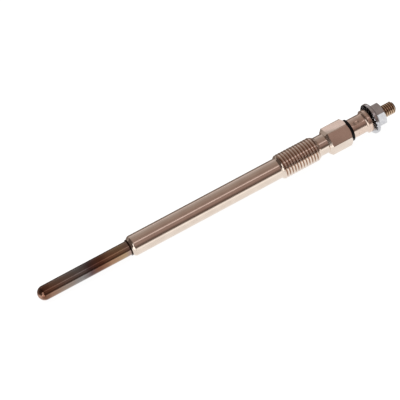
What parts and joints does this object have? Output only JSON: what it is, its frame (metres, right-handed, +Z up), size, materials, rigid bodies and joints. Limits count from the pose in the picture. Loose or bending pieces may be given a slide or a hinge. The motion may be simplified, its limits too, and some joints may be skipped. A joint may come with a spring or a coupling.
{
  "type": "diesel glow plug",
  "caption": "Slim screw-in diesel glow plug: heater tube, long shank with sealing cone, threaded land, hexagon, black insulator, crimped sleeve, threaded stud and flange nut.",
  "frame": {"origin": "on the surface that the plug lies on, under the middle of its bounding box", "axes": "+X runs from the glow tube's tip towards the terminal stud, +Z is up, and the plug's own axis rises by 1.15 degrees towards the stud because it lies on the edge of its sealing cone and on the nut's flange"},
  "size_m": [0.126, 0.01, 0.01],
  "materials": {
    "heat_tinted_alloy": "heat-resistant alloy tube with brown and blue-grey temper colours",
    "heater_wire": "drawn resistance wire",
    "control_wire": "drawn resistance wire",
    "magnesia": "compacted white oxide powder",
    "seal_rubber": "black moulded rubber",
    "nickel_plate": "warm bright nickel plate on turned steel",
    "dark_steel": "dark brown passivated steel",
    "black_insulator": "black moulded insulator",
    "sleeve_nickel": "warm nickel plate on a crimped steel sleeve",
    "zinc_plate": "bright zinc plate"
  },
  "bodies": {
    "root": {"glow_tube": "heat_tinted_alloy", "heating_coil": "heater_wire", "regulating_coil": "control_wire", "magnesia_filling": "magnesia", "tube_seal": "seal_rubber", "body": "nickel_plate", "centre_rod": "dark_steel", "o_ring": "seal_rubber", "insulating_bush": "black_insulator", "terminal_sleeve": "sleeve_nickel", "flange_nut": "zinc_plate"}
  },
  "joints": []
}
